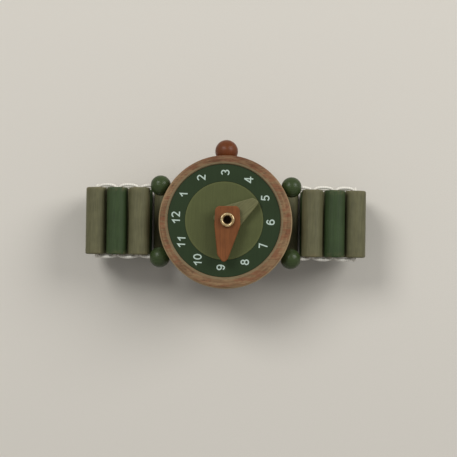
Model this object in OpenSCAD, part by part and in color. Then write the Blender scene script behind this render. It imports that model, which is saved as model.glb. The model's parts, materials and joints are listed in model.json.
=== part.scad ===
// Toy watch of turned and painted wood on a beaded elastic bracelet.
// Millimetres. The origin is the centre of the case's flat back.
// +Z points out of the dial, +X along the bracelet towards 6 o'clock, +Y towards the crown.

/* [Case] */
// Diameter of the round wooden case
case_d = 40; // [36:0.5:46]
// Thickness of the case
case_t = 10; // [9:0.5:14]
// Rounding of the case's outer edges
case_edge_r = 0.8; // [0.3:0.1:1.5]

/* [Dial] */
// Diameter of the recess that holds the dial
recess_d = 33.9; // [30:0.1:35]
// Depth of the recess
recess_t = 1.2; // [1:0.1:2]
// Chamfer round the mouth of the recess
recess_chamfer = 0.25; // [0.1:0.05:0.5]
// Thickness of the dial's ring and centre disc
dial_t = 0.8; // [0.5:0.1:1]
// Diameter of the dial's centre disc
dial_centre_d = 23.4; // [18:0.1:26]
// How far the recess and the dial sit from the case's centre, towards 6 o'clock
dial_x = -0.4; // [-0.6:0.1:0.6]
// How far they sit from it, towards the crown
dial_y = 0.4; // [-0.6:0.1:0.6]

/* [Hands] */
// Length of the minute hand from its pivot to its tip
minute_len = 12.5; // [10:0.1:15]
// Length of the hour hand from its pivot to its tip
hour_len = 10.7; // [8:0.1:14]
// Length of the minute hand's tail behind the pivot
minute_tail = 4.1; // [3:0.1:6]
// Length of the hour hand's tail behind the pivot
hour_tail = 3.1; // [3:0.1:6]
// Width of a hand across its shoulders
shoulder_w = 7.8; // [6.5:0.1:9]
// Width of a hand across the end of its tail
tail_w = 7.4; // [5:0.1:8]
// Width of a hand at its tip
tip_w = 3.4; // [1.4:0.1:4]
// How far the tip lies off the hand's middle line, to its clockwise side
tip_side = 1.4; // [0:0.1:2]
// Thickness of a hand
hand_t = 1.6; // [1:0.1:2.5]
// Direction of the minute hand, anticlockwise from +X
minute_angle = -89; // [-180:1:180]
// Direction of the hour hand, anticlockwise from +X
hour_angle = 42; // [-180:1:180]

/* [Rivet] */
// How far the rivet stands from the case's centre, towards 6 o'clock
rivet_x = 0.6; // [-1:0.1:1]
// How far it stands from it, towards the crown
rivet_y = 0.6; // [-1:0.1:1]
// Diameter of the shank that the hands turn on
rivet_d = 3.2; // [2.6:0.1:4]
// Diameter of the head at the back
rivet_head_d = 5.6; // [4.6:0.1:7]
// Thickness of the head
rivet_head_t = 0.9; // [0.6:0.1:1.5]
// Diameter of the blind hole in the front end
rivet_hole_d = 2.4; // [1.8:0.1:2.6]
// Depth of the blind hole
rivet_hole_depth = 5; // [2:0.5:12]
// Thickness of the rolled rim at the front end
rivet_rim_t = 0.9; // [0.6:0.1:1.2]
// Diameter of the washer under the head
head_washer_d = 6.6; // [6:0.1:9]
// Diameter of the washer under the hands
hand_washer_d = 6; // [5:0.1:8]
// Thickness of both washers
washer_t = 0.5; // [0.3:0.1:1]

/* [Crown] */
// Diameter of the crown's ball
crown_d = 6.9; // [5:0.1:7.2]
// How far the ball's centre stands out from the case
crown_out = 1.5; // [0.5:0.1:2.5]
// Diameter of the crown's peg
peg_d = 2.5; // [1.5:0.1:3]
// How deep the peg sits in the case
peg_in_case = 4; // [2.5:0.1:4.5]
// How deep the peg sits in the ball
peg_in_crown = 3.8; // [2.5:0.1:4.5]

/* [Lug balls] */
// Diameter of the four balls between case and bracelet
ball_d = 6.2; // [5:0.1:6.6]
// Diameter of the hole through a ball, and of the cord holes in the case
ball_hole_d = 2; // [1.5:0.1:2.5]
// How deep a ball sinks into the edge of the case
ball_sink = 0.1; // [0:0.05:1]

/* [Bracelet] */
// Diameter of a bead
bead_d = 6.4; // [5:0.1:7]
// Length of a bead
bead_len = 20.5; // [17:0.5:23]
// Gap between neighbouring beads round the sides
bead_gap = 0.5; // [0.2:0.05:1]
// Least gap between the beads of the level row at the back
back_gap = 0.1; // [0.05:0.05:0.5]
// Gap between a lug ball and the first bead
ball_gap = 0.15; // [0.1:0.05:0.6]
// Diameter of the hole along a bead
bead_hole_d = 2.6; // [2.4:0.1:3]
// Rounding of a bead's ends
bead_edge_r = 0.6; // [0.3:0.1:0.8]
// Chamfer at the mouths of a bead's hole
bead_mouth = 0.4; // [0.2:0.1:0.6]
// Fall of the first link from the case, in degrees below level
link_fall_1 = 4; // [2:1:15]
// Fall of the second link
link_fall_2 = 10; // [4:1:20]
// Fall of the third link
link_fall_3 = 18; // [8:1:30]

/* [Elastic] */
// Diameter of the elastic cord
cord_d = 0.9; // [0.6:0.05:1]
// How far the middle of a cord loop stands out from the bead ends
loop_rise = 0.75; // [0.65:0.05:1.5]

/* [Hidden] */
$fn = 96;

// Clearances: glued fits, the hands' bearing, their end play, seats and cord strands
glue_gap = 0.1;
bearing_gap = 0.05;
end_play = 0.1;
seat_gap = 0.1;
strand_gap = 0.175;
ball_end_gap = 0.15;
head_sink = 0.2;
cut = 1;

// Heights, from the back of the case upwards
cord_z = (case_t - recess_t) / 2;
recess_z = case_t - recess_t;
dial_z = recess_z + dial_t;
hour_z = dial_z + washer_t + end_play;
minute_z = hour_z + hand_t + end_play;
rim_z = minute_z + hand_t + end_play;
counterbore_t = head_sink + rivet_head_t + washer_t;

// Rolled rim of the rivet
rim_r = rivet_rim_t / 2;
rim_mid_r = rivet_hole_d / 2 + rim_r + bearing_gap;
rivet_top = rim_z + rim_r;

// Rounded corners of a hand
tail_corner_r = 1.5;
shoulder_r = 1.5;
shoulder_drop = 1.4;
corner_fn = 32;

// Crown
crown_y = case_d / 2 + crown_out;
crown_seat_y = crown_y - crown_d / 2;

// Lug balls: they lie in line with the cord loops at the bead ends
ball_y = bead_len / 2 + cord_d / 2 + ball_end_gap;
ball_x = sqrt(pow(case_d / 2, 2) - pow(ball_y, 2)) + ball_d / 2 - ball_sink;

// Bracelet: on each side three links fall away from the case, one turns down,
// three come back and three lie level under the case, up to the bead in the middle of the back
pitch = bead_d + bead_gap;
lug_pitch = (ball_d + bead_d) / 2 + ball_gap;
side_beads = 9;
level_links = 3;
chain_beads = 2 * side_beads + 1;
falls = [link_fall_1, link_fall_2, link_fall_3];
newton_steps = 12;
function sum_of(v, i = 0) = i == len(v) ? 0 : v[i] + sum_of(v, i + 1);
function reach(extra) = sum_of([for (f = falls) cos(f + extra)]);
function steepness(extra) = sum_of([for (f = falls) sin(f + extra)]) * PI / 180;
// Extra fall that shortens the reach of three links by lost pitches
function extra_fall(lost, extra = 0, step = 0) =
    step == newton_steps ? extra :
    extra_fall(lost, extra + (reach(extra) - reach(0) + lost) / steepness(extra), step + 1);
// The level row closes the loop; where its beads would touch, the links that come back fall more
half_row = ball_x + (lug_pitch - pitch) * cos(link_fall_1);
row_pitch = max(half_row / level_links, bead_d + back_gap);
lower_extra = extra_fall((level_links * row_pitch - half_row) / pitch);
// Each link as [length, fall]
links = concat(
    [[lug_pitch, link_fall_1], [pitch, link_fall_2], [pitch, link_fall_3], [pitch, 90]],
    [for (i = [2 : -1 : 0]) [pitch, 180 - falls[i] - lower_extra]],
    [for (i = [1 : level_links]) [row_pitch, 180]]
);
// Centre of bead i of the right half, as [x, z]; 0 is the axis of the lug balls
function right_centre(i) =
    i == 0 ? [ball_x, cord_z] :
    let (link = links[i - 1]) right_centre(i - 1) + link[0] * [cos(link[1]), -sin(link[1])];
function mirrored(p) = [-p.x, p.y];
// Centre of bead j along the whole chain, from the right lug balls round to the left ones
function chain_centre(j) =
    j <= side_beads + 1 ? right_centre(j) : mirrored(right_centre(chain_beads + 1 - j));
chain = [for (j = [0 : chain_beads + 1]) chain_centre(j)];

// Elastic: one closed cord laces the whole chain twice, so each bead holds two strands,
// which wind half a turn round each other, and each gap has a loop at both ends of the beads
cord_sides = 6;
strand_r = bead_hole_d / 2 - cord_d / 2 - strand_gap;
strand_steps = [0, 0.25, 0.5, 0.75, 1];
loop_angles = [40, 90, 140];
bend_angle = 45;
function unit(v) = v / norm(v);
function along(j) = unit(chain[j + 1] - chain[j - 1]);
function outward(j) = [-along(j).y, along(j).x];
function at(p, y) = [p.x, y, p.y];
// Each route point is [position, outward direction]
function strand(j, way, side) = [
    for (s = strand_steps)
        let (turn = 180 * (1 - s), off = cos(turn) * along(j) + side * sin(turn) * outward(j))
        [at(chain[j] + strand_r * off, way * bead_len * (s - 0.5)), at(outward(j), 0)]
];
function loop_over(j, way) =
    let (start = chain[j] + strand_r * along(j), end = chain[j + 1] - strand_r * along(j + 1))
    [
        for (a = loop_angles)
            [at((start + end) / 2 - (end - start) / 2 * cos(a), way * (bead_len / 2 + loop_rise * sin(a))),
             at(outward(j) + outward(j + 1), 0)]
    ];
function to_ball(bead_side, mouth_x, way) =
    let (mouth = [mouth_x, cord_z],
         share = 1 - cos(bend_angle),
         y = bead_len / 2 + (ball_y - bead_len / 2) * sin(bend_angle))
    [at(bead_side + (mouth - bead_side) * share, way * y), [0, 0, 1]];
function through_case(way) =
    let (mouth_x = ball_x + ball_d / 2, up = [0, 0, 1])
    [
        to_ball(chain[chain_beads] + strand_r * along(chain_beads), -mouth_x, way),
        [[-mouth_x, way * ball_y, cord_z], up],
        [[mouth_x, way * ball_y, cord_z], up],
        to_ball(chain[1] - strand_r * along(1), mouth_x, way)
    ];
route = [
    for (k = [0 : 2 * chain_beads - 1])
        let (j = k % chain_beads + 1, way = k % 2 == 0 ? -1 : 1, side = k < chain_beads ? 1 : -1)
        each concat(strand(j, way, side), j < chain_beads ? loop_over(j, way) : through_case(way))
];

right_names = [for (i = [1 : side_beads]) str("bead_right_", i)];
left_names = [for (i = [1 : side_beads]) str("bead_left_", i)];

// Places on the axis of the dial and on the axis of the hands, at a height
module on_dial_axis(z) {
    translate([dial_x, dial_y, z]) children();
}

module on_rivet_axis(z) {
    translate([rivet_x, rivet_y, z]) children();
}

// Solid of revolution with rounded rims, standing on z = 0
module rounded_disc(d, t, r) {
    rotate_extrude() {
        square([d / 2 - r, t]);
        translate([0, r]) square([d / 2, t - 2 * r]);
        translate([d / 2 - r, r]) circle(r);
        translate([d / 2 - r, t - r]) circle(r);
    }
}

module tube(outer_d, inner_d, t) {
    difference() {
        cylinder(d = outer_d, h = t);
        translate([0, 0, -cut]) cylinder(d = inner_d, h = t + 2 * cut);
    }
}

// Ball round the origin with a hole up along Z from its lower pole
module drilled_ball(d, hole_d, hole_len) {
    rotate_extrude() difference() {
        circle(d = d);
        translate([-d, -d]) square([d, 2 * d]);
        translate([0, -d / 2 - cut]) square([hole_d / 2, hole_len + cut]);
    }
}

// Cylinder along +Y or along +X, from a point
module rod_y(from, d, len) {
    translate(from) rotate([-90, 0, 0]) cylinder(d = d, h = len);
}

module rod_x(from, d, len) {
    translate(from) rotate([0, 90, 0]) cylinder(d = d, h = len);
}

module case() {
    color("burlywood") difference() {
        rounded_disc(case_d, case_t, case_edge_r);
        on_dial_axis(recess_z) cylinder(d = recess_d, h = recess_t + cut);
        on_dial_axis(case_t - recess_chamfer)
            cylinder(d1 = recess_d, d2 = recess_d + 2 * (recess_chamfer + cut), h = recess_chamfer + cut);
        on_rivet_axis(-cut) cylinder(d = rivet_d + 2 * glue_gap, h = case_t + 2 * cut);
        on_rivet_axis(-cut) cylinder(d = head_washer_d + 2 * seat_gap, h = counterbore_t + cut);
        for (side = [-1, 1]) {
            rod_x([-case_d / 2 - cut, side * ball_y, cord_z], ball_hole_d, case_d + 2 * cut);
        }
        for (end = [0, 1]) mirror([end, 0, 0]) {
            for (side = [-1, 1]) {
                rod_x([ball_x - ball_d / 2, side * ball_y, cord_z], ball_d + 2 * seat_gap, ball_d);
            }
        }
        rod_y([0, crown_seat_y, cord_z], crown_d + 2 * seat_gap, crown_d);
        rod_y([0, crown_seat_y - peg_in_case - glue_gap, cord_z], peg_d + 2 * glue_gap, peg_in_case + cut);
    }
}

module dial_ring() {
    color("darkolivegreen") on_dial_axis(recess_z)
        tube(recess_d - 2 * glue_gap, dial_centre_d + 2 * glue_gap, dial_t);
}

module dial_centre() {
    color("olivedrab") difference() {
        on_dial_axis(recess_z) cylinder(d = dial_centre_d, h = dial_t);
        on_rivet_axis(recess_z - cut) cylinder(d = rivet_d + 2 * glue_gap, h = dial_t + 2 * cut);
    }
}

module hand_washer() {
    color("ivory") on_rivet_axis(dial_z) tube(hand_washer_d, rivet_d + 2 * bearing_gap, washer_t);
}

// Hand that points along +X, with its pivot at the origin: its outline runs round five corner circles
module hand(len, tail) {
    tail_y = tail_w / 2 - tail_corner_r;
    shoulder_y = shoulder_w / 2 - shoulder_r;
    difference() {
        linear_extrude(hand_t) hull() {
            translate([len - tip_w / 2, -tip_side]) circle(tip_w / 2, $fn = corner_fn);
            for (side = [-1, 1]) {
                translate([shoulder_drop, side * shoulder_y]) circle(shoulder_r, $fn = corner_fn);
                translate([tail_corner_r - tail, side * tail_y]) circle(tail_corner_r, $fn = corner_fn);
            }
        }
        translate([0, 0, -cut]) cylinder(d = rivet_d + 2 * bearing_gap, h = hand_t + 2 * cut);
    }
}

module hour_hand() {
    color("darkkhaki") on_rivet_axis(hour_z) rotate([0, 0, hour_angle]) hand(hour_len, hour_tail);
}

module minute_hand() {
    color("sienna") on_rivet_axis(minute_z) rotate([0, 0, minute_angle]) hand(minute_len, minute_tail);
}

// Semi-tubular rivet, with its front end rolled over the minute hand
module rivet() {
    color("goldenrod") difference() {
        union() {
            on_rivet_axis(head_sink) cylinder(d = rivet_head_d, h = rivet_head_t);
            on_rivet_axis(head_sink) cylinder(d = rivet_d, h = rivet_top - head_sink);
            on_rivet_axis(rivet_top) rotate_extrude() translate([rim_mid_r, 0]) circle(rim_r);
        }
        on_rivet_axis(rivet_top - rivet_hole_depth) cylinder(d = rivet_hole_d, h = rivet_hole_depth + cut);
    }
}

module head_washer() {
    color("silver") on_rivet_axis(head_sink + rivet_head_t)
        tube(head_washer_d, rivet_d + 2 * bearing_gap, washer_t);
}

module crown() {
    color("sienna") translate([0, crown_y, cord_z]) rotate([-90, 0, 0])
        drilled_ball(crown_d, peg_d + 2 * glue_gap, peg_in_crown + glue_gap);
}

module crown_peg() {
    color("burlywood") rod_y([0, crown_seat_y - peg_in_case, cord_z], peg_d, peg_in_case + peg_in_crown);
}

module lug_ball(end, side) {
    color("darkseagreen") translate([end * ball_x, side * ball_y, cord_z]) rotate([0, 90, 0])
        drilled_ball(ball_d, ball_hole_d, ball_d + cut);
}

// Bead along Y at place j of the chain, painted in turn olive and dark green
module bead(j) {
    color(j % 2 == 1 ? "olive" : "darkgreen")
        translate([chain[j].x, -bead_len / 2, chain[j].y]) rotate([-90, 0, 0]) difference() {
            rounded_disc(bead_d, bead_len, bead_edge_r);
            translate([0, 0, -cut]) cylinder(d = bead_hole_d, h = bead_len + 2 * cut);
            for (end = [0, 1]) {
                translate([0, 0, end * bead_len]) mirror([0, 0, end]) translate([0, 0, -cut])
                    cylinder(d1 = bead_hole_d + 2 * (bead_mouth + cut), d2 = bead_hole_d,
                             h = bead_mouth + cut);
            }
        }
}

// Round tube that follows a closed route
module closed_tube(route, d, sides) {
    count = len(route);
    rings = [
        for (i = [0 : count - 1])
            let (ahead = unit(route[(i + 1) % count][0] - route[(i + count - 1) % count][0]),
                 out = route[i][1],
                 up = unit(out - (out * ahead) * ahead),
                 across = cross(ahead, up))
            each [
                for (s = [0 : sides - 1])
                    route[i][0] + d / 2 * (cos(360 * s / sides) * up + sin(360 * s / sides) * across)
            ]
    ];
    polyhedron(rings, [
        for (i = [0 : count - 1], s = [0 : sides - 1])
            let (next = (i + 1) % count, turn = (s + 1) % sides,
                 a = i * sides + s, b = i * sides + turn, c = next * sides + turn, e = next * sides + s)
            each [[a, c, b], [a, e, c]]
    ]);
}

module elastic_cord() {
    color("white") closed_tube(route, cord_d, cord_sides);
}

case();
dial_ring();
dial_centre();
hand_washer();
hour_hand();
minute_hand();
rivet();
head_washer();
crown();
crown_peg();
lug_ball(1, 1);  // ball_right_top
lug_ball(1, -1);  // ball_right_bottom
lug_ball(-1, 1);  // ball_left_top
lug_ball(-1, -1);  // ball_left_bottom
for (i = [1 : side_beads]) {
    bead(i);
    bead(chain_beads + 1 - i);
}
bead(side_beads + 1);  // bead_back
elastic_cord();
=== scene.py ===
"""Looks of a toy watch: turned wooden case, printed dial, painted hands and beads, and white elastic."""

import json
import logging
import math
from dataclasses import dataclass, field
from enum import Enum
from itertools import accumulate
from typing import TypeAlias

import bmesh
import bpy
from bmesh.types import BMesh, BMVert
from bpy.types import Material
from mathutils import Euler, Matrix, Vector, noise

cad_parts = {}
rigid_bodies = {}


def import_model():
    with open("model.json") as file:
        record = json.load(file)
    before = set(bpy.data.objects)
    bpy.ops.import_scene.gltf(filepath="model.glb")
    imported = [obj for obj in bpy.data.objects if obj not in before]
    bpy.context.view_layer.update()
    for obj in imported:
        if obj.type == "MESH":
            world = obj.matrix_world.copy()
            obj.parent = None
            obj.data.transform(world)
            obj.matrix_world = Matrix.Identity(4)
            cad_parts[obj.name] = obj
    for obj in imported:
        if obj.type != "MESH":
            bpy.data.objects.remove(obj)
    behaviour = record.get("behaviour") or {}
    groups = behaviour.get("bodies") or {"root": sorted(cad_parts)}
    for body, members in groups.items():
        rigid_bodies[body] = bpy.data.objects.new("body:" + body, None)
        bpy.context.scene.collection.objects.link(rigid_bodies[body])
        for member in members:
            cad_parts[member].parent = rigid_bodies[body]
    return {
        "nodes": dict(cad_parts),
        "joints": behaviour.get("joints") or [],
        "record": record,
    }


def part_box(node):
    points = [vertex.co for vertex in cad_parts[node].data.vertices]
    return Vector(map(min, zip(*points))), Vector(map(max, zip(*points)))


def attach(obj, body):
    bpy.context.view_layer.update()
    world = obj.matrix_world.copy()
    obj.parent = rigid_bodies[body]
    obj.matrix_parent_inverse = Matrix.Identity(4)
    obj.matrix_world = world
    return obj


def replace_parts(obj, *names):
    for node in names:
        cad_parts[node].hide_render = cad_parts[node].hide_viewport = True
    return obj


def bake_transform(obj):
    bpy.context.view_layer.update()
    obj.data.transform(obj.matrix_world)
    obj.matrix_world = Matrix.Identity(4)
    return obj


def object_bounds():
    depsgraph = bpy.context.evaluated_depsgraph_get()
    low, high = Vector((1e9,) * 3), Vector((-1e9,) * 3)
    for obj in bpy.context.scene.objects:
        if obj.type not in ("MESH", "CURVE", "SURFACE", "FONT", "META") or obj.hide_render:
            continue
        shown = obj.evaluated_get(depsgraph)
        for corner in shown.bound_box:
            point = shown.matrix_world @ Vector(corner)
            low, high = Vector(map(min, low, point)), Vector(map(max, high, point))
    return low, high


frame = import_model()
cad_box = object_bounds()

LOG = logging.getLogger("toy_watch")
MM = 0.001
MERGE_GAP = 0.001 * MM
# Values that noise mostly keeps between
NOISE_RANGE = (0.3, 0.7)

Colour: TypeAlias = tuple[float, float, float, float]
Operand: TypeAlias = "Value | float"
Pair: TypeAlias = tuple[float, float]
Triple: TypeAlias = tuple[float, float, float]
Stroke: TypeAlias = list[Pair]


def paint_colour(red: int, green: int, blue: int) -> Colour:
    """Turns an sRGB colour into the linear one that shaders take.

    Args:
        red: Red, 0 to 255.
        green: Green, 0 to 255.
        blue: Blue, 0 to 255.

    Returns:
        The linear colour with full alpha.
    """
    shares = (channel / 255 for channel in (red, green, blue))
    straight = [s / 12.92 if s <= 0.04045 else ((s + 0.055) / 1.055) ** 2.4 for s in shares]
    return (*straight, 1.0)


def toned(colour: Colour, share: float) -> Colour:
    """Returns the colour made darker or lighter by a share of itself."""
    return (*(channel * share for channel in colour[:3]), 1.0)


@dataclass(frozen=True)
class Ring:
    """A circle round an upright axis.

    Attributes:
        radius: Its radius, in metres.
        x: Where the axis stands along X, in metres.
        y: Where the axis stands along Y, in metres.
    """

    radius: float
    x: float = 0.0
    y: float = 0.0

    @classmethod
    def around(cls, node: str, radius: float) -> "Ring":
        """Returns the circle of that radius round the middle of a node."""
        centre = middle(node)
        return cls(radius, centre.x, centre.y)


class Value:
    """An output socket that takes part in Python arithmetic, where each operator adds a Math node."""

    def __init__(self, graph: "Graph", socket: bpy.types.NodeSocket) -> None:
        """Keeps the socket, and the graph that takes the new nodes."""
        self.graph = graph
        self.socket = socket

    def math(self, operation: str, *others: Operand) -> "Value":
        """Adds a Math node of this value and the others."""
        return self.graph.node("ShaderNodeMath", {"operation": operation}, dict(enumerate((self, *others))))

    def __add__(self, other: Operand) -> "Value":
        """Adds a value or a number."""
        return self.math("ADD", other)

    def __sub__(self, other: Operand) -> "Value":
        """Takes a value or a number away."""
        return self.math("SUBTRACT", other)

    def __rsub__(self, other: float) -> "Value":
        """Takes this value away from a number."""
        return self.math("MULTIPLY_ADD", -1.0, other)

    def __mul__(self, other: Operand) -> "Value":
        """Multiplies by a value or a number."""
        return self.math("MULTIPLY", other)

    __radd__ = __add__
    __rmul__ = __mul__

    def __abs__(self) -> "Value":
        """Drops the sign."""
        return self.math("ABSOLUTE")

    def step(self, low: float, high: float) -> "Value":
        """Rises smoothly from 0 where this value is low to 1 where it is high."""
        limits = {0: self, 1: low, 2: high, 3: 0.0, 4: 1.0}
        return self.graph.node("ShaderNodeMapRange", {"interpolation_type": "SMOOTHSTEP"}, limits)


class Graph:
    """A node tree that takes new nodes."""

    def __init__(self, tree: bpy.types.NodeTree) -> None:
        """Keeps the tree."""
        self.tree = tree

    def node(self, kind: str, settings: dict | None = None, inputs: dict | None = None,
             output: int | str = 0) -> Value:
        """Adds one node.

        Args:
            kind: The node's type.
            settings: The node's own properties, which are set first.
            inputs: The numbers, colours or values of its sockets, by name or place.
            output: The name or place of the socket to go on with.

        Returns:
            That output as a value.
        """
        made = self.tree.nodes.new(kind)
        for key, setting in (settings or {}).items():
            setattr(made, key, setting)
        for key, given in (inputs or {}).items():
            self.feed(made.inputs[key], given)
        return Value(self, made.outputs[output])

    def feed(self, socket: bpy.types.NodeSocket, given: object) -> None:
        """Links a value to a socket, or sets a constant on it.

        Args:
            socket: The socket to feed.
            given: A value, or a constant.
        """
        if isinstance(given, Value):
            self.tree.links.new(given.socket, socket)
        else:
            socket.default_value = given


class Shader(Graph):
    """The node tree of one material, which ends in a Principled shader."""

    def __init__(self, name: str) -> None:
        """Makes the material and takes hold of its shader.

        Args:
            name: Name of the material.
        """
        self.material = bpy.data.materials.new(name)
        self.material.use_nodes = True
        super().__init__(self.material.node_tree)
        self.surface = self.tree.nodes["Principled BSDF"]

    def finish(self, **sockets: object) -> Material:
        """Feeds the Principled shader.

        Args:
            sockets: Values or constants by socket name, with _ in place of each space.

        Returns:
            The finished material.
        """
        for name, given in sockets.items():
            self.feed(self.surface.inputs[name.replace("_", " ")], given)
        return self.material

    def mix(self, share: Operand, first: object, second: object) -> Value:
        """Mixes two colours by a share of the second."""
        return self.node("ShaderNodeMix", {"data_type": "RGBA"}, {0: share, 6: first, 7: second}, output=2)

    def place(self) -> Value:
        """Returns the place on the object, in metres."""
        return self.node("ShaderNodeTexCoord", output="Object")

    def axes(self, place: Value) -> list[Value]:
        """Splits a place into its three numbers."""
        return [self.node("ShaderNodeSeparateXYZ", None, {0: place}, output=i) for i in range(3)]

    def past(self, place: Value, ring: Ring) -> Value:
        """Measures how far a place lies outside a ring.

        Args:
            place: The place, in metres.
            ring: The ring.

        Returns:
            The distance from the ring, in metres, which is below 0 inside it.
        """
        x, y, _ = self.axes(place)
        x = x - ring.x
        y = y - ring.y
        return (x * x + y * y).math("SQRT") - ring.radius

    def turned(self, place: Value, share: float, width: float) -> Value:
        """Measures a place in patches that lie round the Z axis.

        Args:
            place: The place, in metres.
            share: Length of a patch round the axis, as a share of its radius.
            width: Width of a patch outwards and along the axis, in metres.

        Returns:
            The place counted in patches.
        """
        x, y, z = self.axes(place)
        radius = self.past(place, Ring(0.0))
        sideways = {i: axis.math("DIVIDE", radius) * (1 / share) for i, axis in enumerate((x, y))}
        return self.node("ShaderNodeCombineXYZ", None, {**sideways, 2: (radius + z) * (1 / width)})

    def stretched(self, place: Value, sizes: Triple, turn: float = 0.0) -> Value:
        """Counts a place in patches of those sizes, in metres, turned about Z by an angle in degrees."""
        inputs = {"Vector": place, "Rotation": (0.0, 0.0, math.radians(turn)), "Scale": sizes}
        return self.node("ShaderNodeMapping", {"vector_type": "TEXTURE"}, inputs)

    def cloud(self, place: Value, detail: float = 3.0, roughness: float = 0.6, warp: float = 0.0) -> Value:
        """Adds noise with one patch to a unit."""
        layers = {"Detail": detail, "Roughness": roughness, "Distortion": warp}
        return self.node("ShaderNodeTexNoise", None, {"Vector": place, "Scale": 1.0, **layers})

    def painted_on(self, attribute: str) -> Value:
        """Reads a number that the mesh carries."""
        return self.node("ShaderNodeAttribute", {"attribute_name": attribute}, output="Fac")

    def relief(self, height: Value, depth: float) -> Value:
        """Turns a height of 0 to 1 into bumps of that depth, in metres."""
        return self.node("ShaderNodeBump", None, {"Strength": 1.0, "Distance": depth, "Height": height})


@dataclass(frozen=True)
class Grain:
    """How wood grain lies in a piece.

    Attributes:
        fibre: Size of a fibre streak along the pattern's axes, in metres.
        turn: Turn of the pattern about Z, in degrees.
    """

    fibre: Triple
    turn: float = 0.0


@dataclass(frozen=True)
class PaintedWood:
    """Thin satin paint on wood, with the grain showing through and worn rims.

    Attributes:
        name: Name of the finish.
        colour: Colour of the paint.
        grain: Grain of the wood below.
        contrast: How much lighter and darker the grain makes the paint.
        gloss: Roughness of the paint.
        shine: Strength of its reflections.
        depth: Depth of the grain's relief, in metres.
        cut_edge: Edge along which a painted highlight makes the paint paler, if there is one.
    """

    name: str
    colour: Colour
    grain: Grain
    contrast: float = 0.14
    gloss: float = 0.44
    shine: float = 0.22
    depth: float = 0.03 * MM
    depth_range: Pair = (0.25, 0.75)
    cut_edge: Ring | None = None
    cut_width: float = 0.7 * MM
    cut_share: float = 0.6
    cut_tone: float = 1.4
    bare: Colour = paint_colour(142, 124, 90)
    bare_share: float = 0.4
    mottle: float = 3.5 * MM
    mottle_share: float = 0.35
    scuff: float = 1.5 * MM
    scuff_range: Pair = (0.4, 0.75)
    tone_roughness: float = 0.12
    worn_roughness: float = 0.2

    def material(self) -> Material:
        """Builds the paint.

        Returns:
            The material.
        """
        shader = Shader(self.name)
        place = shader.place()
        fibres = shader.cloud(shader.stretched(place, self.grain.fibre, self.grain.turn), detail=4.0)
        patches = shader.cloud(shader.stretched(place, (self.mottle,) * 3), detail=2.0, roughness=0.5)
        scuffs = shader.cloud(shader.stretched(place, (self.scuff,) * 3), roughness=0.65)
        tone = fibres.step(*NOISE_RANGE) * (1 - self.mottle_share)
        tone = tone + patches.step(*NOISE_RANGE) * self.mottle_share
        dark, pale = (toned(self.colour, 1 + way * self.contrast) for way in (-1, 1))
        paint = shader.mix(tone, dark, pale)
        # A painted highlight makes the paint paler along the given edge
        if self.cut_edge:
            edge = shader.past(place, self.cut_edge).step(-self.cut_width, 0.0)
            paint = shader.mix(edge * self.cut_share, paint, toned(self.colour, self.cut_tone))
        worn = shader.painted_on(Turned.RIM) * scuffs.step(*self.scuff_range)
        return shader.finish(
            Base_Color=shader.mix(worn * self.bare_share, paint, self.bare),
            Roughness=self.gloss + self.tone_roughness * tone + self.worn_roughness * worn,
            Specular_IOR_Level=self.shine,
            Normal=shader.relief(fibres.step(*self.depth_range) - worn * self.bare_share, self.depth),
        )


@dataclass(frozen=True)
class WornEdge:
    """A band of colour painted along an edge of a turned piece, such as a painted highlight.

    Attributes:
        ring: Where the edge runs.
        colour: Its colour.
        share: How much of that colour it shows.
        width: How far it reaches to each side, in metres.
        fade: Where along Y the band starts to fade, and where it ends, in metres.
    """

    ring: Ring
    colour: Colour
    share: float
    width: float
    fade: Pair


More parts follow.
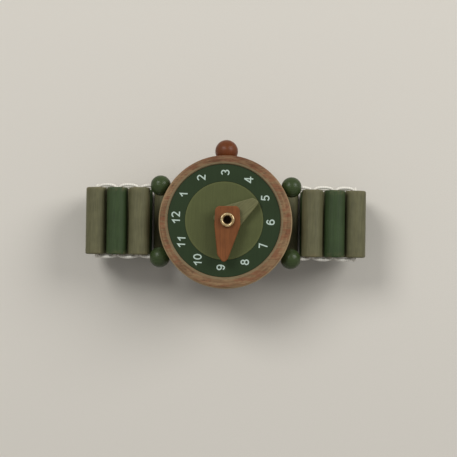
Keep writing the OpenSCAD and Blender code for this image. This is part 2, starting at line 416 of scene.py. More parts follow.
@dataclass(frozen=True)
class BareWood:
    """Oiled bare wood with growth bands, fibres, lathe marks, red patches, dark flecks and painted edge
    bands.

    Attributes:
        name: Name of the finish.
        pale: Colour of the early wood.
        dark: Colour of the late wood.
        red: Colour of the patches that took more oil.
        fleck: Colour of the flecks.
        heart: Colour of the darkest growth band.
        heart_place: Where that band crosses the piece, sideways to the grain, in metres.
        heart_width: How far the band reaches to each side, in metres.
        heart_broken: How much the lathe marks break it up.
        turn: Direction of the grain about Z, in degrees.
        edges: The bands painted along its edges, such as a painted highlight.
        top: Height of those edges, in metres.
    """

    name: str
    pale: Colour = paint_colour(152, 124, 90)
    dark: Colour = paint_colour(80, 53, 33)
    red: Colour = paint_colour(122, 74, 50)
    fleck: Colour = paint_colour(58, 38, 25)
    heart: Colour = paint_colour(84, 50, 30)
    heart_place: float = 18.5 * MM
    heart_width: float = 6.5 * MM
    turn: float = 3.0
    edges: tuple[WornEdge, ...] = ()
    top: float = 0.0
    band_size: Triple = (40 * MM, 4.5 * MM, 7 * MM)
    band_range: Pair = (0.32, 0.68)
    band_share: float = 0.25
    fibre_size: Triple = (6 * MM, 0.3 * MM, 0.3 * MM)
    fibre_range: Pair = (0.28, 0.72)
    fibre_share: float = 0.35
    mark_arc: float = 0.3
    mark_width: float = 0.7 * MM
    mark_share: float = 0.4
    patch_size: Triple = (3.2 * MM, 1.3 * MM, 1.3 * MM)
    patch_range: Pair = (0.42, 0.62)
    patch_share: float = 0.6
    fleck_size: Triple = (1.6 * MM, 0.22 * MM, 0.4 * MM)
    fleck_range: Pair = (0.6, 0.72)
    fleck_share: float = 0.6
    heart_share: float = 0.75
    heart_broken: float = 0.5
    gloss: float = 0.5
    fibre_roughness: float = 0.15
    shine: float = 0.22
    fibre_height: float = 0.3
    depth: float = 0.04 * MM

    def material(self) -> Material:
        """Builds the wood.

        Returns:
            The material.
        """
        shader = Shader(self.name)
        place = shader.place()
        sizes = (self.band_size, self.fibre_size, self.patch_size, self.fleck_size)
        bands, fibres, patches, flecks = (shader.stretched(place, each, self.turn) for each in sizes)
        bands = shader.cloud(bands, roughness=0.55, warp=0.6).step(*self.band_range)
        fibres = shader.cloud(fibres, detail=4.0).step(*self.fibre_range)
        patches = shader.cloud(patches).step(*self.patch_range)
        flecks = shader.cloud(flecks, detail=1.0, roughness=0.5).step(*self.fleck_range)
        marks = shader.cloud(shader.turned(place, self.mark_arc, self.mark_width)).step(*NOISE_RANGE)
        tone = bands * self.band_share + fibres * self.fibre_share + marks * self.mark_share
        wood = shader.mix(tone, self.dark, self.pale)
        wood = shader.mix(patches * self.patch_share, wood, self.red)
        across = shader.axes(shader.stretched(place, (1.0,) * 3, self.turn))[1]
        heart = 1 - abs(across - self.heart_place).step(self.heart_width / 4, self.heart_width)
        wood = shader.mix(heart * (self.heart_share - self.heart_broken * marks), wood, self.heart)
        wood = shader.mix(flecks * self.fleck_share, wood, self.fleck)
        # Bands painted along the edges, such as the painted highlight on the case's rim
        for edge in self.edges:
            wood = shader.mix(self.sanding(shader, place, edge), wood, edge.colour)
        return shader.finish(
            Base_Color=wood,
            Roughness=self.gloss + self.fibre_roughness * fibres,
            Specular_IOR_Level=self.shine,
            Normal=shader.relief(fibres * self.fibre_height + marks * self.mark_share - flecks, self.depth),
        )

    def sanding(self, shader: Shader, place: Value, edge: WornEdge) -> Value:
        """Works out how much of its own colour an edge band shows, such as a painted highlight.

        Args:
            shader: The shader of the wood.
            place: The place on the wood, in metres.
            edge: The edge.

        Returns:
            The share of its colour, which is 0 away from the edge.
        """
        _, y, z = shader.axes(place)
        beside = abs(shader.past(place, edge.ring)).step(edge.width / 3, edge.width)
        below = abs(z - self.top).step(edge.width, 2 * edge.width)
        return (1 - beside) * (1 - below) * (1 - y.step(*edge.fade)) * edge.share


@dataclass(frozen=True)
class Metal:
    """Drawn metal with a soft tarnish.

    Attributes:
        name: Name of the finish.
        bright: Colour where it is polished.
        dull: Colour where it is tarnished.
        gloss: Roughness where it is polished.
        bore: Hole whose inside grime and painted shade make darker, if there is one.
    """

    name: str
    bright: Colour
    dull: Colour
    gloss: float = 0.24
    bore: Ring | None = None
    grime: Colour = paint_colour(104, 78, 48)
    grime_edge: float = 0.06 * MM
    grime_roughness: float = 0.4
    patch: float = 0.8 * MM
    patch_range: Pair = (0.35, 0.7)
    patch_roughness: float = 0.22

    def material(self) -> Material:
        """Builds the metal.

        Returns:
            The material.
        """
        shader = Shader(self.name)
        place = shader.place()
        patches = shader.stretched(place, (self.patch,) * 3)
        tarnish = shader.cloud(patches, detail=4.0).step(*self.patch_range)
        colour = shader.mix(tarnish, self.bright, self.dull)
        roughness = self.gloss + self.patch_roughness * tarnish
        polish: Operand = 1.0
        if self.bore:
            # Grime and painted shade darken the inside of the hole
            inside = 1 - shader.past(place, self.bore).step(0.0, self.grime_edge)
            colour = shader.mix(inside, colour, self.grime)
            roughness = roughness + self.grime_roughness * inside
            polish = 1 - inside
        return shader.finish(Base_Color=colour, Metallic=polish, Roughness=roughness)


@dataclass(frozen=True)
class Print:
    """Matt ink, paper or fibre of one colour, with a faint tooth.

    Attributes:
        name: Name of the finish.
        colour: Its colour.
        gloss: Roughness of its surface.
        tooth: Size of the tooth, in metres.
    """

    name: str
    colour: Colour
    gloss: float = 0.55
    shine: float = 0.2
    tooth: float = 0.25 * MM
    contrast: float = 0.04
    tooth_roughness: float = 0.1
    depth: float = 0.008 * MM

    def material(self) -> Material:
        """Builds the print.

        Returns:
            The material.
        """
        shader = Shader(self.name)
        tooth = shader.cloud(shader.stretched(shader.place(), (self.tooth,) * 3)).step(*NOISE_RANGE)
        dark, pale = (toned(self.colour, 1 + way * self.contrast) for way in (-1, 1))
        return shader.finish(
            Base_Color=shader.mix(tooth, dark, pale),
            Roughness=self.gloss + self.tooth_roughness * tooth,
            Specular_IOR_Level=self.shine,
            Normal=shader.relief(tooth, self.depth),
        )


@dataclass(frozen=True)
class Braid:
    """Covered elastic: white yarn braided round a rubber core.

    Attributes:
        name: Name of the finish.
        yarn: Colour of the yarn.
        shade: Colour between the yarns.
        yarns: Count of yarns that run each way round the cord.
    """

    name: str
    yarn: Colour = paint_colour(236, 233, 222)
    shade: Colour = paint_colour(214, 210, 198)
    yarns: int = 6
    edges: Pair = (0.1, 0.9)
    gloss: float = 0.75
    sheen: float = 0.25
    depth: float = 0.025 * MM

    def material(self) -> Material:
        """Builds the braid on the map that counts its repeats along the cord and its turns round it.

        Returns:
            The material.
        """
        shader = Shader(self.name)
        run, turn, _ = shader.axes(shader.node("ShaderNodeUVMap", {"uv_map": Elastic.BRAID_MAP}))
        run = run * math.tau
        turn = turn * (math.tau * self.yarns)
        weave = ((turn + run).math("SINE") * (turn - run).math("SINE") * 0.5 + 0.5).step(*self.edges)
        return shader.finish(
            Base_Color=shader.mix(weave, self.shade, self.yarn),
            Roughness=self.gloss,
            Sheen_Weight=self.sheen,
            Normal=shader.relief(weave, self.depth),
        )


def body_of(node: str) -> str:
    """Returns the body that a node moves with."""
    bodies = frame["record"]["behaviour"]["bodies"]
    return next(body for body, members in bodies.items() if node in members)


def middle(node: str) -> Vector:
    """Returns the middle of a node's box at rest."""
    low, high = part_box(node)
    return (low + high) / 2


def size(node: str) -> Vector:
    """Returns the length of a node's box along each axis."""
    low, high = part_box(node)
    return high - low


def dress(node: str, finish: Material) -> None:
    """Gives a carried-over node a finish."""
    frame["nodes"][node].material_slots[0].material = finish
    LOG.info("dressed %s in %s", node, finish.name)


def make_piece(name: str, shape: BMesh, finishes: list[Material]) -> bpy.types.Object:
    """Turns a shape into an object at the origin.

    Args:
        name: Name of the piece.
        shape: The shape, which is used up.
        finishes: Materials in the order of the faces' material numbers.

    Returns:
        The object, which rides on nothing yet.
    """
    mesh = bpy.data.meshes.new(name)
    shape.to_mesh(mesh)
    shape.free()
    for finish in finishes:
        mesh.materials.append(finish)
    made = bpy.data.objects.new(name, mesh)
    bpy.context.scene.collection.objects.link(made)
    LOG.info("built %s with %d faces", name, len(mesh.polygons))
    return made


@dataclass(frozen=True)
class Lamp:
    """A round soft lamp that points at the watch.

    Attributes:
        place: Where it hangs, in metres.
        width: Its diameter, in metres.
        power: Its power, in watts.
    """

    place: Triple
    width: float
    power: float

    def hang(self) -> None:
        """Makes the lamp."""
        data = bpy.data.lights.new("lamp", "AREA")
        data.shape = "DISK"
        data.size = self.width
        data.energy = self.power
        made = bpy.data.objects.new("lamp", data)
        made.location = self.place
        made.rotation_euler = made.location.to_track_quat("Z", "Y").to_euler()
        bpy.context.scene.collection.objects.link(made)


@dataclass
class Studio:
    """Camera at the photograph's angle, a pale floor and two soft lamps past the crown.

    Attributes:
        lens: Focal length of the camera, in millimetres.
        camera_place: Where the camera stands, in metres.
        camera_turn: Its turn from looking straight down, in degrees.
        lamps: The lamps at the left and at the right.
        sky_light: Strength of the even light from all sides.
    """

    lens: float = 100.0
    near: float = 0.01
    camera_place: Vector = field(default_factory=lambda: Vector((3.39, -6.79, 388.92)) * MM)
    camera_turn: Triple = (0.738, 0.359, 0.838)
    floor_radius: float = 3.0
    floor_sides: int = 96
    floor_colour: Colour = paint_colour(216, 211, 201)
    floor_gloss: float = 0.8
    lamps: tuple[Lamp, ...] = (
        Lamp((-0.42, 0.46, 0.68), width=0.4, power=3.9),
        Lamp((0.62, 0.42, 0.55), width=0.55, power=4.6),
    )
    sky_light: float = 0.28

    def build(self) -> None:
        """Makes the camera, the floor and the lights."""
        bpy.context.scene.view_settings.view_transform = "Standard"
        self.camera()
        self.floor()
        for lamp in self.lamps:
            lamp.hang()
        self.sky()

    def camera(self) -> None:
        """Makes the camera."""
        data = bpy.data.cameras.new("camera")
        data.lens = self.lens
        data.clip_start = self.near
        made = bpy.data.objects.new("camera", data)
        made.location = self.camera_place
        made.rotation_euler = Euler([math.radians(turn) for turn in self.camera_turn])
        bpy.context.scene.collection.objects.link(made)
        bpy.context.scene.camera = made

    def floor(self) -> None:
        """Lays the floor under the lowest beads, which it stays under when the bracelet opens."""
        shape = bmesh.new()
        lowest = Matrix.Translation((0.0, 0.0, cad_box[0].z))
        bmesh.ops.create_circle(shape, cap_ends=True, segments=self.floor_sides, radius=self.floor_radius,
                                matrix=lowest)
        paper = Print("floor_paper", self.floor_colour, self.floor_gloss)
        made = make_piece("floor", shape, [paper.material()])
        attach(made, body_of("bead_back"))

    def sky(self) -> None:
        """Lights the scene evenly, and shows a pale backdrop past the floor."""
        world = bpy.data.worlds.new("sky")
        world.use_nodes = True
        bpy.context.scene.world = world
        graph = Graph(world.node_tree)
        graph.tree.nodes.clear()
        light = graph.node("ShaderNodeBackground", None, {"Color": (1.0,) * 4, "Strength": self.sky_light})
        backdrop = graph.node("ShaderNodeBackground", None, {"Color": self.floor_colour})
        camera, glossy, through = (graph.node("ShaderNodeLightPath", output=f"Is {ray} Ray")
                                   for ray in ("Camera", "Glossy", "Transmission"))
        shown = camera.math("MAXIMUM", glossy).math("MAXIMUM", through)
        sky = graph.node("ShaderNodeMixShader", None, {0: shown, 1: light, 2: backdrop})
        graph.feed(graph.tree.nodes.new("ShaderNodeOutputWorld").inputs["Surface"], sky)


class Paint(Enum):
    """The paints of the watch, each with the record's slot that it stands for."""

    OLIVE = ("bead_olive", paint_colour(94, 92, 66))
    DARK_GREEN = ("bead_dark_green", paint_colour(50, 66, 38))
    BALL_GREEN = ("ball_green", paint_colour(53, 67, 37))
    HAND_OLIVE = ("hand_olive", paint_colour(102, 101, 68))
    HAND_TERRACOTTA = ("hand_terracotta", paint_colour(113, 67, 34))
    CROWN_TERRACOTTA = ("crown_terracotta", paint_colour(100, 52, 24))
    DIAL_DARK_GREEN = ("dial_dark_green", paint_colour(31, 47, 23))
    DIAL_OLIVE = ("dial_olive", paint_colour(78, 83, 48))

    @property
    def slot(self) -> str:
        """The record's slot."""
        return self.value[0]

    @property
    def colour(self) -> Colour:
        """The paint's colour."""
        return self.value[1]

    def on(self, grain: Grain, **looks: object) -> Material:
        """Paints wood of that grain."""
        return PaintedWood(self.slot, self.colour, grain, **looks).material()


@dataclass
class PaintedPiece:
    """A painted wooden piece that stands for a node.

    Attributes:
        node: The node that it stands for.
        paint: Its paint.
    """

    node: str
    paint: Paint

    def put(self, shape: BMesh, finishes: list[Material]) -> None:
        """Makes the piece in place of its node, and uses its shape up."""
        made = make_piece(f"{self.node}_painted", shape, finishes)
        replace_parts(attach(made, body_of(self.node)), self.node)


@dataclass
class Turned(PaintedPiece):
    """A painted piece from the lathe, whose mesh says where its rims are worn."""

    RIM = "rim"

    @staticmethod
    def spin(shape: BMesh, axis: Vector, steps: int) -> None:
        """Spins a section of edges once round an axis through the origin.

        Args:
            shape: The section, which becomes the whole shape.
            axis: Direction of the axis.
            steps: Count of facets round it.
        """
        bmesh.ops.spin(shape, geom=[*shape.verts, *shape.edges], axis=axis, angle=math.tau, steps=steps,
                       use_merge=True)
        bmesh.ops.remove_doubles(shape, verts=shape.verts, dist=MERGE_GAP)
        bmesh.ops.recalc_face_normals(shape, faces=shape.faces)
        for face in shape.faces:
            face.smooth = True

    @staticmethod
    def uneven(shape: BMesh, depth: float, patch: float) -> None:
        """Moves the surface in and out a little, as hand sanding does.

        Args:
            shape: The shape to change.
            depth: Most that a point moves, in metres.
            patch: Size of a hump, in metres.
        """
        shape.normal_update()
        for vert in shape.verts:
            vert.co -= vert.normal * depth * (0.5 + 0.5 * noise.noise(vert.co / patch))


@dataclass
class Case:
    """The turned case with what is fixed in it.

    Attributes:
        rim: Colour of the painted highlight along the rounded outer rim.
        recess: Colour of the greyish band painted at the mouth of the dial's recess.
        recess_edge: Radius of that chamfered mouth, in metres.
        rivet_bore: Radius of the rivet's hole, in metres.
        peg_turn: Direction of the dowel's grain about Z, in degrees.
    """

    rim: Colour = paint_colour(176, 152, 114)
    recess: Colour = paint_colour(122, 110, 82)
    recess_edge: float = 17.25 * MM
    rivet_bore: float = 1.2 * MM
    peg_turn: float = 90.0
    crown_grain: Grain = Grain((0.35 * MM, 4 * MM, 0.35 * MM))

    def build(self) -> None:
        """Dresses the case, the rivet, the washers, the peg and the crown."""
        dress("case", BareWood("case_wood", edges=self.edges(), top=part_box("case")[1].z).material())
        dress("crown_peg", BareWood("peg_wood", turn=self.peg_turn).material())
        bore = Ring.around("rivet", self.rivet_bore)
        brass = Metal("rivet_brass", paint_colour(200, 181, 144), paint_colour(132, 110, 76), bore=bore)
        dress("rivet", brass.material())
        steel = Metal("steel_washer", paint_colour(200, 200, 198), paint_colour(140, 138, 132), gloss=0.32)
        dress("head_washer", steel.material())
        dress("hand_washer", Print("fibre_washer", paint_colour(202, 188, 154)).material())
        dress("crown", Paint.CROWN_TERRACOTTA.on(self.crown_grain, gloss=0.26, shine=0.2))

    def edges(self) -> tuple[WornEdge, ...]:
        """Places the bands painted along the edges.

        Returns:
            The painted highlight on the rim, which fades towards the crown, and the band at the mouth of
            the recess.
        """
        radius = size("case").x / 2
        rim = Ring.around("case", radius)
        mouth = Ring.around("dial_ring", self.recess_edge)
        return (
            # Painted highlight on the rounded rim, lighter at the bottom and fading out towards the crown
            WornEdge(rim, self.rim, share=0.75, width=0.5 * MM, fade=(0.0, radius)),
            WornEdge(mouth, self.recess, share=0.7, width=0.6 * MM, fade=(radius, 2 * radius)),
        )


def bow(centre: Pair, wide: float, high: float, start: float, end: float) -> Stroke:
    """Returns points along part of an ellipse.

    Args:
        centre: Centre of the ellipse.
        wide: Half its width.
        high: Half its height.
        start: Angle of the first point, in degrees.
        end: Angle of the last point, in degrees.

    Returns:
        The points, both ends among them.
    """
    steps = 32
    turns = [math.radians(start + (end - start) * i / steps) for i in range(steps + 1)]
    return [(centre[0] + wide * math.cos(turn), centre[1] + high * math.sin(turn)) for turn in turns]


# Middle lines of each digit's strokes, in shares of its height, round its centre
SIX = [bow((0.0, -0.17), 0.205, 0.235, 0, 360), bow((0.01, -0.05), 0.215, 0.455, 190, 40)]
DIGITS: dict[str, list[Stroke]] = {
    "0": [bow((0.0, 0.0), 0.21, 0.405, 0, 360)],
    "1": [[(-0.19, 0.05), (0.07, 0.3), (0.07, -0.5)]],
    "2": [[*bow((0.0, 0.195), 0.21, 0.21, 170, -35), (-0.12, -0.405), (0.3, -0.405)]],
    "3": [bow((0.0, 0.2), 0.19, 0.205, 160, -90), bow((0.0, -0.2), 0.21, 0.205, 90, -160)],
    "4": [[(0.09, 0.44), (-0.22, -0.2), (0.32, -0.2)], [(0.12, 0.5), (0.12, -0.5)]],
    "5": [[(0.22, 0.405), (-0.13, 0.405), (-0.165, -0.02)], bow((-0.005, -0.155), 0.215, 0.25, 150, -150)],
    "6": SIX,
    "7": [[(-0.23, 0.405), (0.15, 0.405), (-0.08, -0.5)]],
    "8": [bow((0.0, 0.215), 0.175, 0.19, 0, 360), bow((0.0, -0.19), 0.21, 0.215, 0, 360)],
    "9": [[(-x, -y) for x, y in stroke] for stroke in SIX],
}


@dataclass
class Dial:
    """The two discs and the twelve printed numerals.

    Attributes:
        ring: Distance of the numerals from the middle of the print, in metres.
        off_centre: How far the print sits from the dial's middle, in metres.
        turn: Turn of the print, in degrees.
        height: Height of a numeral, in metres.
        breadth: Widening of its digits.
        stroke: Width of its strokes, in metres.
        pitch: Step from digit to digit, as a share of the height.
        ink: Colour of the ink.
        thickness: Thickness of the ink, in metres.
        overlap: How much higher each stroke of a digit lies than the last one, in metres.
    """

    ring: float = 14.2 * MM
    off_centre: Vector = field(default_factory=lambda: Vector((-0.34, 0.19, 0.0)) * MM)
    turn: float = -1.9
    height: float = 2.7 * MM
    breadth: float = 1.17
    stroke: float = 0.37 * MM
    pitch: float = 0.6
    ink: Colour = paint_colour(184, 200, 188)
    thickness: float = 0.03 * MM
    overlap: float = 0.004 * MM
    grain: Grain = Grain((8 * MM, 0.4 * MM, 0.4 * MM), 88.0)

    def build(self) -> None:
        """Dresses the discs and prints the numerals."""
        smooth = {"contrast": 0.1, "depth": 0.015 * MM}
        dress("dial_ring", Paint.DIAL_DARK_GREEN.on(self.grain, **smooth))
        # The centre disc's edge gets a painted highlight
        edge = Ring.around("dial_centre", size("dial_centre").x / 2)
        dress("dial_centre", Paint.DIAL_OLIVE.on(self.grain, **smooth, cut_edge=edge))
        shape = bmesh.new()
        for hour in range(1, 13):
            self.print_numeral(shape, hour)
        bmesh.ops.recalc_face_normals(shape, faces=shape.faces)
        made = make_piece("dial_numerals", shape, [Print("numeral_ink", self.ink).material()])
        broad = made.modifiers.new("stroke", "SOLIDIFY")
        broad.thickness = self.stroke
        broad.offset = 0.0
        broad.use_even_offset = True
        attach(made, "case")

    def print_numeral(self, shape: BMesh, hour: int) -> None:
        """Adds one numeral to the print.

        Args:
            shape: The print so far.
            hour: The number to print.
        """
        # Twelve stands towards -X, and an hour is 30 degrees
        angle = math.radians(180 - 30 * hour + self.turn)
        outwards = Vector((math.cos(angle), math.sin(angle), 0.0))
        centre = middle("dial_ring") + self.off_centre + self.ring * outwards
        centre.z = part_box("dial_ring")[1].z
        place = Matrix.Translation(centre)
        upright = Matrix.Rotation(math.radians(90 + self.turn), 4, "Z")
        shares = Matrix.Diagonal((self.height * self.breadth, self.height, self.height, 1.0))
        digits = str(hour)
        for i, digit in enumerate(digits):
            aside = Matrix.Translation(((i - (len(digits) - 1) / 2) * self.pitch, 0.0, 0.0))
            self.print_digit(shape, digit, place @ upright @ shares @ aside)

    def print_digit(self, shape: BMesh, digit: str, place: Matrix) -> None:
        """Adds a digit as walls along the middle of its strokes, which get their width later.

        Args:
            shape: The print so far.
            digit: The digit to add.
            place: From shares of the height, round the digit's centre, to the dial.
        """
        for layer, points in enumerate(DIGITS[digit]):
            lift = Vector((0.0, 0.0, layer * self.overlap))
            line = [shape.verts.new(place @ Vector((*point, 0.0)) + lift) for point in points]
            edges = [shape.edges.new(pair) for pair in zip(line, line[1:])]
            walls = bmesh.ops.extrude_edge_only(shape, edges=edges)["geom"]
            raised = [item for item in walls if isinstance(item, BMVert)]
            bmesh.ops.translate(shape, vec=(0.0, 0.0, self.thickness), verts=raised)
            bmesh.ops.remove_doubles(shape, verts=[*line, *raised], dist=MERGE_GAP)


@dataclass(frozen=True)
class Corner:
    """A rounded corner at the tip of a hand.

    Attributes:
        back: Distance of its centre from the end of the hand, in metres.
        side: Distance of its centre from the middle line, to the counter-clockwise side, in metres.
        radius: Its radius, in metres.
    """

    back: float
    side: float
    radius: float


@dataclass
class Hand(PaintedPiece):
    """A pointed wooden hand with rounded edges, whose tip lies off its middle line.

    Attributes:
        length: From the pivot to the tip, in metres.
        tail: From the pivot to the end of the tail, in metres.
        angle: Direction of its middle line from +X, in degrees.
        tip: The corners of the tip.
    """

    # Least share of Z in the normal of a flat face
    FLAT = 0.99
    RIM_ANGLE = math.radians(60)
    LEVEL_ANGLE = math.radians(1)

    length: float
    tail: float
    angle: float
    tip: tuple[Corner, ...]
    tail_width: float = 7.4 * MM
    tail_round: float = 1.5 * MM
    shoulder_width: float = 7.8 * MM
    shoulder_round: float = 1.5 * MM
    shoulder_drop: float = 1.4 * MM
    bore: float = 1.65 * MM
    edge: float = 0.3 * MM
    edge_steps: int = 4
    sides: int = 48
    fibre: Triple = (7 * MM, 0.35 * MM, 0.35 * MM)
    contrast: float = 0.22

    def build(self) -> None:
        """Builds the hand in place of its node."""
        shape = self.blank()
        self.round_edges(shape)
        self.drill(shape)
        pivot = middle("rivet")
        pivot.z = middle(self.node).z
        turn = Matrix.Rotation(math.radians(self.angle), 4, "Z")
        bmesh.ops.transform(shape, matrix=Matrix.Translation(pivot) @ turn, verts=shape.verts)
        finish = self.paint.on(Grain(self.fibre, self.angle), contrast=self.contrast)
        self.put(shape, [finish])

    def blank(self) -> BMesh:
        """Cuts the hand out square, round posts at its corners.

        Returns:
            The hand round the origin, without its hole.
        """
        tail_y = self.tail_width / 2 - self.tail_round
        shoulder_y = self.shoulder_width / 2 - self.shoulder_round
        posts = [(self.length - corner.back, corner.side, corner.radius) for corner in self.tip]
        for side in (-1, 1):
            posts.append((-self.tail + self.tail_round, side * tail_y, self.tail_round))
            posts.append((self.shoulder_drop, side * shoulder_y, self.shoulder_round))
        shape = bmesh.new()
        for x, y, radius in posts:
            bmesh.ops.create_cone(shape, cap_ends=True, segments=self.sides, radius1=radius, radius2=radius,
                                  depth=size(self.node).z, matrix=Matrix.Translation((x, y, 0)))
        hull = bmesh.ops.convex_hull(shape, input=shape.verts)
        spare = {*hull["geom_interior"], *hull["geom_unused"]}
        inside = [item for item in spare if isinstance(item, BMVert)]
        bmesh.ops.delete(shape, geom=inside, context="VERTS")
        bmesh.ops.dissolve_limit(shape, angle_limit=self.LEVEL_ANGLE, verts=shape.verts, edges=shape.edges)
        return shape

    def round_edges(self, shape: BMesh) -> None:
        """Rounds the rims of the two flat faces."""
        rims = [edge for edge in shape.edges if edge.calc_face_angle(0.0) > self.RIM_ANGLE]
        bmesh.ops.bevel(shape, geom=rims, offset=self.edge, segments=self.edge_steps, profile=0.5,
                        affect="EDGES", material=-1)

    def drill(self, shape: BMesh) -> None:
        """Opens the two flat faces and joins them by a bore.

        Args:
            shape: The hand, which gets its hole.
        """
        shape.normal_update()
        mouths = []
        for way in (-1, 1):
            level = [face for face in shape.faces if face.normal.z * way > self.FLAT]
            flat = max(level, key=lambda face: face.calc_area())
            rim = flat.edges[:]
            height = flat.calc_center_median().z
            bmesh.ops.delete(shape, geom=[flat], context="FACES_ONLY")
            ring = bmesh.ops.create_circle(shape, segments=self.sides, radius=self.bore,
                                           matrix=Matrix.Translation((0, 0, height)))
            mouth = list({edge for vert in ring["verts"] for edge in vert.link_edges})
            mouths += mouth
            bmesh.ops.triangle_fill(shape, use_beauty=True, edges=rim + mouth, normal=(0, 0, way))
        bmesh.ops.bridge_loops(shape, edges=mouths)
        bmesh.ops.recalc_face_normals(shape, faces=shape.faces)
        for face in shape.faces:
            face.smooth = abs(face.normal.z) < self.FLAT


HANDS = (
    Hand("hour_hand", Paint.HAND_OLIVE, length=10.7 * MM, tail=3.1 * MM, angle=42.0,
         tip=(Corner(1.4 * MM, -0.65 * MM, 0.9 * MM), Corner(1.05 * MM, -1.68 * MM, 0.85 * MM))),
    Hand("minute_hand", Paint.HAND_TERRACOTTA, length=12.5 * MM, tail=4.1 * MM, angle=-89.0,
         tip=(Corner(1.45 * MM, -0.75 * MM, 1.0 * MM), Corner(1.0 * MM, -1.1 * MM, 0.95 * MM),
              Corner(2.5 * MM, -2.1 * MM, 1.0 * MM))),
)


@dataclass
class LugBall(Turned):
    """A drilled ball between the case and the bracelet.

    Attributes:
        hole: Radius of its hole, in metres.
        worn: How far the wear reaches past the hole, as a share of its radius.
    """

    # Wear past which a face is bare wood
    BARE = 0.99

    hole: float = 1.0 * MM
    worn: float = 0.5
    sides: int = 64

    def build(self, finishes: list[Material]) -> None:
        """Builds the ball in place of its node.

        Args:
            finishes: The paint, and the bare wood of the hole.
        """
        radius = size(self.node).z / 2
        start = math.asin(self.hole / radius)
        shape = bmesh.new()
        first = shape.verts.new((radius * math.cos(start), self.hole, 0))
        half_turn = math.pi - 2 * start
        bmesh.ops.spin(shape, geom=[first], axis=(0, 0, 1), angle=half_turn, steps=self.sides // 2)
        shape.verts.ensure_lookup_table()
        last = min(shape.verts, key=lambda vert: vert.co.x)
        shape.edges.new((first, last))
        self.spin(shape, Vector((1, 0, 0)), self.sides)
        self.mark(shape)
        bmesh.ops.translate(shape, vec=middle(self.node), verts=shape.verts)
        self.put(shape, finishes)

    def mark(self, shape: BMesh) -> None:
        """Marks the bore as bare, and the paint round its mouths as worn.

        Args:
            shape: The ball round the origin.
        """
        rim = shape.verts.layers.float.new(self.RIM)
        for vert in shape.verts:
            past_hole = math.hypot(vert.co.y, vert.co.z) / self.hole - 1
            vert[rim] = max(0.0, 1 - past_hole / self.worn)
        for face in shape.faces:
            face.material_index = all(vert[rim] > self.BARE for vert in face.verts)


@dataclass
class Bead(Turned):
    """A painted cylinder bead.

    Attributes:
        bore: Radius of its hole, in metres.
        edge: Rounding of its ends, in metres.
        mouth: Chamfer at the mouths of its hole, in metres.
        sanded: Most that the sanding takes off, in metres.
        hump: Size of the humps that it leaves, in metres.
    """

    bore: float = 1.3 * MM
    edge: float = 0.6 * MM
    edge_steps: int = 6
    mouth: float = 0.4 * MM
    mouth_steps: int = 2
    sides: int = 72
    cuts: int = 15
    sanded: float = 0.04 * MM
    hump: float = 4 * MM
    worn_along: float = 1.5 * MM
    worn_across: float = 0.9 * MM
    bare_mouth: float = 0.9

    def build(self, finishes: list[Material]) -> None:
        """Builds the bead in place of its node.

        Args:
            finishes: The paint, and the bare wood of the hole.
        """
        radius = size(self.node).x / 2
        half = size(self.node).y / 2
        shape = self.section(radius, half)
        self.spin(shape, Vector((0, 1, 0)), self.sides)
        self.mark(shape, radius, half)
        bmesh.ops.translate(shape, vec=middle(self.node), verts=shape.verts)
        self.uneven(shape, self.sanded, self.hump)
        self.put(shape, finishes)

    def section(self, radius: float, half: float) -> BMesh:
        """Draws half a section along Y, with its corners rounded.

        Args:
            radius: The bead's radius, in metres.
            half: Half its length, in metres.

        Returns:
            The outline, ready to spin.
        """
        shape = bmesh.new()
        corners = [shape.verts.new((x, y, 0)) for x, y in
                   ((self.bore, -half), (radius, -half), (radius, half), (self.bore, half))]
        shape.faces.new(corners)
        ends = (corners[1:3], self.edge, self.edge_steps)
        mouths = (corners[::3], self.mouth, self.mouth_steps)
        for pair, offset, steps in (ends, mouths):
            bmesh.ops.bevel(shape, geom=pair, offset=offset, segments=steps, profile=0.5,
                            affect="VERTICES", material=-1)
        bmesh.ops.delete(shape, geom=shape.faces[:], context="FACES_ONLY")
        long_edges = [edge for edge in shape.edges if edge.calc_length() > half]
        bmesh.ops.subdivide_edges(shape, edges=long_edges, cuts=self.cuts)
        return shape

    def mark(self, shape: BMesh, radius: float, half: float) -> None:
        """Marks the bore as bare, and the rims as worn.

        Args:
            shape: The bead round the origin.
            radius: Its radius, in metres.
            half: Half its length, in metres.
        """
        rim = shape.verts.layers.float.new(self.RIM)
        for vert in shape.verts:
            from_end = (half - abs(vert.co.y)) / self.worn_along
            from_side = (radius - math.hypot(vert.co.x, vert.co.z)) / self.worn_across
            vert[rim] = max(0.0, 1 - max(from_end, from_side))
        for face in shape.faces:
            centre = face.calc_center_median()
            if math.hypot(centre.x, centre.z) < self.bore + self.mouth * self.bare_mouth:
                face.material_index = 1


@dataclass
class Bracelet:
    """The nineteen beads and the four balls that lead to them.

    Attributes:
        side_beads: Count of beads on each side of the one in the middle of the back.
        bead_contrast: How much lighter and darker the grain makes their paint.
        hole_turn: Direction of the grain in the holes about Z, in degrees.
    """

    side_beads: int = 9
    bead_grain: Grain = Grain((0.42 * MM, 6 * MM, 0.42 * MM))
    bead_contrast: float = 0.21
    ball_grain: Grain = Grain((4 * MM, 0.4 * MM, 0.4 * MM))
    hole_turn: float = 90.0

    def chain(self) -> list[str]:
        """Lists the beads in the order of the chain.

        Returns:
            The nodes from the right end round the back to the left end.
        """
        right = [f"bead_right_{i}" for i in range(1, self.side_beads + 1)]
        left = [f"bead_left_{i}" for i in range(1, self.side_beads + 1)]
        return [*right, "bead_back", *reversed(left)]

    def build(self) -> None:
        """Builds the balls, and the beads in turn olive and dark green."""
        hole = BareWood("bore_wood", turn=self.hole_turn).material()
        ball_paint = Paint.BALL_GREEN.on(self.ball_grain, gloss=0.2, shine=0.2)
        for side in ("right", "left"):
            for end in ("top", "bottom"):
                LugBall(f"ball_{side}_{end}", Paint.BALL_GREEN).build([ball_paint, hole])
        paints = (Paint.OLIVE, Paint.DARK_GREEN)
        finishes = [paint.on(self.bead_grain, contrast=self.bead_contrast) for paint in paints]
        for place, node in enumerate(self.chain()):
            Bead(node, paints[place % 2]).build([finishes[place % 2], hole])


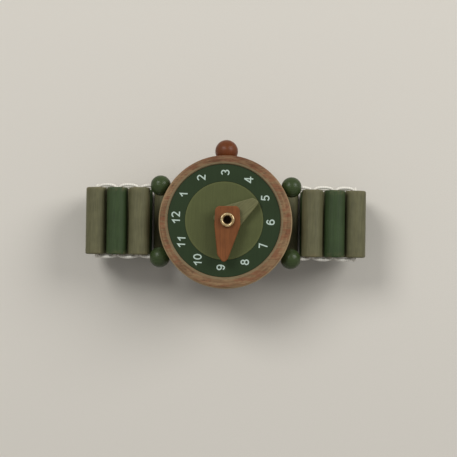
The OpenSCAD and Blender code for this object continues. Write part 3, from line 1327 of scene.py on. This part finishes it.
@dataclass
class Elastic:
    """The white elastic, in one link for each pair of beads so that it bends with the chain.

    Attributes:
        thickness: Diameter of the cord, in metres.
        off_axis: Distance of a strand from its bead's axis, in metres.
        rise: How far a loop's middle stands out from the bead ends, in metres.
        bend_start: Where the bend at a ball starts, as a share of the ball's radius; not used.
        bend_end: How far before the first bead's strand it ends, as a share of the cord's diameter; the
            point worked out from it is not used.
    """

    SLOT = "white_elastic"
    BRAID_MAP = "UVMap"

    chain: list[str]
    thickness: float = 0.9 * MM
    off_axis: float = 0.675 * MM
    rise: float = 0.75 * MM
    sides: int = 12
    arc_points: int = 14
    braid_pitch: float = 1.4 * MM
    bend_start: float = 0.7
    bend_end: float = 0.3

    def build(self) -> None:
        """Builds the links between the beads, those to the balls, and the strands through the case."""
        finish = Braid(self.SLOT).material()
        for first, second in zip(self.chain, self.chain[1:]):
            link = self.tube(f"elastic_{first}_{second}", self.link_route(first, second), True, finish)
            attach(link, body_of(second) if self.leads(first, second) else body_of(first))
        for side, bead in (("right", self.chain[0]), ("left", self.chain[-1])):
            self.lug_link(side, bead, finish)
        for end in ("top", "bottom"):
            route = [middle(f"ball_{side}_{end}") for side in ("left", "right")]
            strand = self.tube(f"elastic_case_{end}", route, False, finish)
            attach(strand, "case")
            if end == "top":
                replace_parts(strand, "elastic_cord")

    @staticmethod
    def leads(first: str, second: str) -> bool:
        """Tells whether the second bead hangs on the first one."""
        return any(joint["parent"] == body_of(first) and joint["child"] == body_of(second)
                   for joint in frame["joints"])

    def arc(self, start: Vector, end: Vector, rise: Vector) -> list[Vector]:
        """Returns points from start to end over half an ellipse that rises by that much."""
        turns = [math.pi * i / self.arc_points for i in range(self.arc_points + 1)]
        return [(start + end) / 2 + (start - end) / 2 * math.cos(t) + rise * math.sin(t) for t in turns]

    def link_route(self, first: str, second: str) -> list[Vector]:
        """Lays the link through two neighbouring beads.

        Args:
            first: A bead.
            second: The next bead of the chain.

        Returns:
            Points along a closed ring.
        """
        half = Vector((0, size(first).y / 2, 0))
        rise = Vector((0, self.rise, 0))
        along = (middle(second) - middle(first)).normalized()
        near = middle(first) + along * self.off_axis
        far = middle(second) - along * self.off_axis
        return [*self.arc(near + half, far + half, rise), *self.arc(far - half, near - half, -rise)]

    def lug_link(self, side: str, bead: str, finish: Material) -> None:
        """Builds the link from one pair of balls through the first bead, which rides on no body.

        Args:
            side: The side of the case, right or left.
            bead: The first bead on that side.
            finish: The braid.
        """
        top, bottom = (middle(f"ball_{side}_{end}") for end in ("top", "bottom"))
        out = Vector((math.copysign(1, top.x), 0, 0))
        mouth = out * size(f"ball_{side}_top").x / 2
        half = Vector((0, size(bead).y / 2, 0))
        along = (middle(bead) - (top + bottom) / 2).normalized()
        strand = middle(bead) - along * self.off_axis
        into = self.corner(top + mouth, strand + half)
        back = self.corner(bottom + mouth, strand - half)
        made = self.tube(f"elastic_lug_{side}", [top, *into, *reversed(back), bottom], False, finish)
        end = strand - out * self.thickness * self.bend_end
        body_of(bead)
        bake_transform(made)

    def corner(self, mouth: Vector, hole: Vector) -> list[Vector]:
        """Rounds the corner from a ball to a bead.

        Args:
            mouth: Where the cord leaves a ball, along X.
            hole: Where it enters a bead, along Y.

        Returns:
            Points along the quarter turn, both ends among them.
        """
        points = []
        for i in range(self.arc_points + 1):
            t = math.pi / 2 * i / self.arc_points
            x = mouth.x + (hole.x - mouth.x) * math.sin(t)
            y = hole.y + (mouth.y - hole.y) * math.cos(t)
            z = mouth.z + (hole.z - mouth.z) * math.sin(t)
            points.append(Vector((x, y, z)))
        return points

    def tube(self, name: str, route: list[Vector], closed: bool, finish: Material) -> bpy.types.Object:
        """Makes a round cord along a route.

        Args:
            name: Name of the piece.
            route: Points that the cord follows.
            closed: Whether its ends meet.
            finish: The braid.

        Returns:
            The cord, which rides on nothing yet.
        """
        data = bpy.data.curves.new(name, "CURVE")
        data.dimensions = "3D"
        data.bevel_depth = self.thickness / 2
        # A round bevel has four sides more than twice its resolution
        data.bevel_resolution = self.sides // 2 - 2
        data.use_fill_caps = not closed
        spline = data.splines.new("POLY")
        spline.points.add(len(route) - 1)
        for point, place in zip(spline.points, route):
            point.co = (*place, 1.0)
        spline.use_cyclic_u = closed
        holder = bpy.data.objects.new(name, data)
        bpy.context.scene.collection.objects.link(holder)
        mesh = bpy.data.meshes.new_from_object(holder.evaluated_get(bpy.context.evaluated_depsgraph_get()))
        bpy.data.objects.remove(holder)
        shape = bmesh.new()
        shape.from_mesh(mesh)
        bpy.data.meshes.remove(mesh)
        self.count_braid(shape, [*route, route[0]] if closed else route)
        return make_piece(name, shape, [finish])

    def count_braid(self, shape: BMesh, route: list[Vector]) -> None:
        """Makes the cord's map count whole repeats of the braid, evenly along its length.

        Args:
            shape: The cord, whose map counts the route's points from 0 to 1.
            route: Points that the cord follows, with the first one again at the end of a closed cord.
        """
        reached = [0.0, *accumulate((b - a).length for a, b in zip(route, route[1:]))]
        repeats = max(1, round(reached[-1] / self.braid_pitch))
        braid = shape.loops.layers.uv[self.BRAID_MAP]
        for face in shape.faces:
            face.smooth = True
            for loop in face.loops:
                point = round(loop[braid].uv.x * (len(route) - 1))
                loop[braid].uv.x = reached[point] / reached[-1] * repeats


def main() -> None:
    """Builds the watch and its studio."""
    logging.basicConfig(level=logging.INFO, format="%(message)s")
    Studio().build()
    Case().build()
    Dial().build()
    for hand in HANDS:
        hand.build()
    bracelet = Bracelet()
    bracelet.build()
    Elastic(bracelet.chain()).build()


if __name__ == "__main__":
    main()
